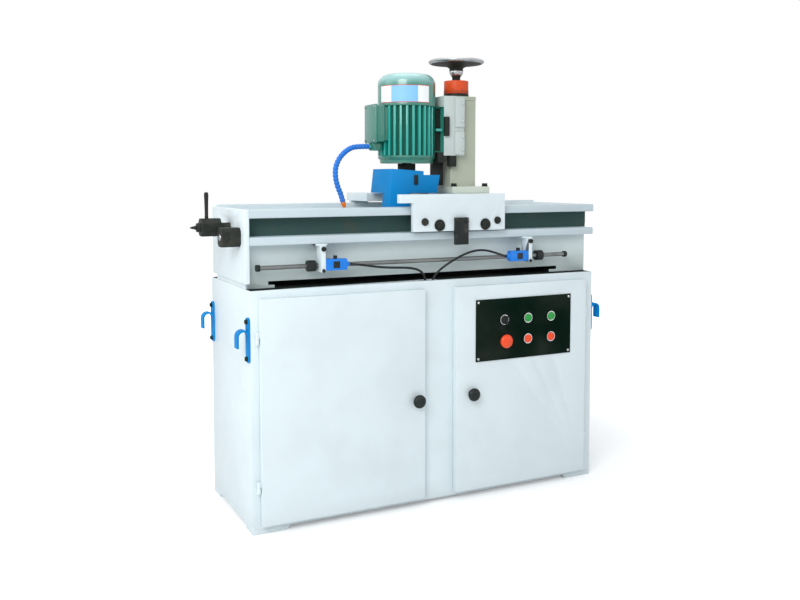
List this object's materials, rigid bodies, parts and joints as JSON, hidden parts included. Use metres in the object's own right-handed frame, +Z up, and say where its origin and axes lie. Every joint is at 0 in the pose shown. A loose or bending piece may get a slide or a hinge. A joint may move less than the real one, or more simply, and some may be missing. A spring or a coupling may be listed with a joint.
{
  "type": "wet grinding sharpener",
  "caption": "Floor-standing wet grinder for long straight knives: cabinet base, coolant tray with tilting knife table, and a powered carriage with vertical cup-wheel head.",
  "frame": {"origin": "centre of the four floor bolt holes, on the floor", "axes": "+X along the bed to the operator's right, +Y to the rear, +Z up"},
  "size_m": [1.248, 0.4295, 1.2838],
  "materials": {
    "white_paint": "satin enamel",
    "cream_paint": "satin enamel",
    "blue_paint": "gloss enamel",
    "green_paint": "satin enamel",
    "dark_steel": "oiled",
    "bright_steel": "ground",
    "black_plastic": "moulded",
    "panel_black": "semi-gloss",
    "chrome_ring": "polished",
    "green_plastic": "moulded",
    "red_plastic": "moulded",
    "blue_plastic": "moulded",
    "orange_plastic": "moulded",
    "orange_paint": "satin enamel",
    "cable_black": "sheathed",
    "abrasive": "vitrified grit"
  },
  "bodies": {
    "bed": {"cabinet_shell": "white_paint", "foot_plates": "white_paint", "door_hinges": "bright_steel", "tool_hooks": "blue_paint", "coolant_unit": "dark_steel", "bed_frame": "white_paint", "coolant_tray": "white_paint", "trunnion_bushes": "bright_steel", "front_rail": "white_paint", "rear_rail": "bright_steel", "trip_rod": "bright_steel", "left_limit_switch": "blue_plastic", "right_limit_switch": "blue_plastic", "left_switch_cable": "cable_black", "right_switch_cable": "cable_black", "feed_chain": "dark_steel", "feed_gearmotor": "green_paint", "tilt_stop_block": "dark_steel"},
    "left_door": {"left_door": "white_paint", "left_knob": "black_plastic"},
    "right_door": {"right_door": "white_paint", "right_knob": "black_plastic", "control_panel": "panel_black", "button_bezels": "chrome_ring"},
    "wheel_start": {"wheel_start_button": "green_plastic"},
    "feed_start": {"feed_start_button": "green_plastic"},
    "wheel_stop": {"wheel_stop_button": "red_plastic"},
    "feed_stop": {"feed_stop_button": "red_plastic"},
    "emergency_stop": {"emergency_stop": "red_plastic"},
    "selector": {"selector_switch": "black_plastic"},
    "left_plunger": {"left_plunger": "black_plastic"},
    "right_plunger": {"right_plunger": "black_plastic"},
    "drive_sprocket": {"drive_sprocket": "dark_steel"},
    "idler_sprocket": {"idler_sprocket": "dark_steel"},
    "table": {"knife_table": "bright_steel", "knife_clamp": "dark_steel", "trunnion_hub": "dark_steel", "table_lever": "dark_steel"},
    "carriage": {"saddle": "white_paint", "keeper_rollers": "bright_steel", "carriage_fasteners": "dark_steel", "trip_striker": "black_plastic", "column": "cream_paint", "column_cap": "cream_paint"},
    "left_roller": {"left_roller": "bright_steel"},
    "right_roller": {"right_roller": "bright_steel"},
    "handwheel": {"lead_screw": "bright_steel", "feed_dial": "orange_paint", "handwheel": "dark_steel"},
    "head": {"head_slide": "white_paint", "motor_frame": "green_paint", "fan_cover": "green_paint", "terminal_box": "green_paint", "wheel_guard": "blue_paint", "guard_arm": "dark_steel", "coolant_hose": "blue_plastic", "hose_fittings": "orange_plastic"},
    "spindle": {"spindle": "bright_steel", "motor_fan": "black_plastic", "grinding_wheel": "abrasive"}
  },
  "joints": [
    {"name": "left_door_swing", "type": "hinge", "parent": "bed", "child": "left_door", "pos_m": [-0.5355, -0.2, 0.3], "axis": [0, 0, 1], "range_deg": [-110, 0]},
    {"name": "right_door_swing", "type": "hinge", "parent": "bed", "child": "right_door", "pos_m": [0.5195, -0.2, 0.3], "axis": [0, 0, 1], "range_deg": [0, 110]},
    {"name": "wheel_start_press", "type": "slide", "parent": "right_door", "child": "wheel_start", "axis": [0, 1, 0], "range_m": [0, 0.004], "stiffness_N_per_m": 300},
    {"name": "feed_start_press", "type": "slide", "parent": "right_door", "child": "feed_start", "axis": [0, 1, 0], "range_m": [0, 0.004], "stiffness_N_per_m": 300},
    {"name": "wheel_stop_press", "type": "slide", "parent": "right_door", "child": "wheel_stop", "axis": [0, 1, 0], "range_m": [0, 0.004], "stiffness_N_per_m": 300},
    {"name": "feed_stop_press", "type": "slide", "parent": "right_door", "child": "feed_stop", "axis": [0, 1, 0], "range_m": [0, 0.004], "stiffness_N_per_m": 300},
    {"name": "emergency_stop_press", "type": "slide", "parent": "right_door", "child": "emergency_stop", "axis": [0, 1, 0], "range_m": [0, 0.005], "stiffness_N_per_m": 300},
    {"name": "selector_turn", "type": "hinge", "parent": "right_door", "child": "selector", "pos_m": [0.209, -0.21, 0.521], "axis": [0, 1, 0], "range_deg": [-45, 45]},
    {"name": "left_plunger_press", "type": "slide", "parent": "bed", "child": "left_plunger", "axis": [0, 0, -1], "range_m": [0, 0.004], "stiffness_N_per_m": 250},
    {"name": "right_plunger_press", "type": "slide", "parent": "bed", "child": "right_plunger", "axis": [0, 0, -1], "range_m": [0, 0.004], "stiffness_N_per_m": 250},
    {"name": "table_tilt", "type": "hinge", "parent": "bed", "child": "table", "pos_m": [0, -0.045, 0.804], "axis": [1, 0, 0], "range_deg": [-30, 30]},
    {"name": "carriage_travel", "type": "slide", "parent": "bed", "child": "carriage", "axis": [1, 0, 0], "range_m": [-0.25, 0.22]},
    {"name": "left_roller_spin", "type": "hinge", "parent": "carriage", "child": "left_roller", "pos_m": [-0.007, -0.18, 0.803], "axis": [0, 1, 0], "range_deg": [-740, 660]},
    {"name": "right_roller_spin", "type": "hinge", "parent": "carriage", "child": "right_roller", "pos_m": [0.143, -0.18, 0.803], "axis": [0, 1, 0], "range_deg": [-740, 660]},
    {"name": "drive_sprocket_spin", "type": "hinge", "parent": "bed", "child": "drive_sprocket", "pos_m": [0.47, 0.152, 0.72], "axis": [0, 1, 0], "range_deg": [-470, 420]},
    {"name": "idler_sprocket_spin", "type": "hinge", "parent": "bed", "child": "idler_sprocket", "pos_m": [-0.47, 0.152, 0.72], "axis": [0, 1, 0], "range_deg": [-470, 420]},
    {"name": "handwheel_turn", "type": "hinge", "parent": "carriage", "child": "handwheel", "pos_m": [0.128, -0.07, 1.2], "axis": [0, 0, 1], "range_deg": [-3600, 0]},
    {"name": "head_feed", "type": "slide", "parent": "carriage", "child": "head", "axis": [0, 0, 1], "range_m": [-0.0402, 0.0001]},
    {"name": "spindle_spin", "type": "hinge", "parent": "head", "child": "spindle", "pos_m": [-0.038, -0.07, 1], "axis": [0, 0, 1], "continuous": true}
  ],
  "couplings": [
    {"joint": "left_roller_spin", "follows": "carriage_travel", "rad_per_m": 50.761},
    {"joint": "right_roller_spin", "follows": "carriage_travel", "rad_per_m": 50.761},
    {"joint": "drive_sprocket_spin", "follows": "carriage_travel", "rad_per_m": 31.447},
    {"joint": "idler_sprocket_spin", "follows": "carriage_travel", "rad_per_m": 31.447},
    {"joint": "head_feed", "follows": "handwheel_turn", "m_per_rad": 0.00063662}
  ]
}
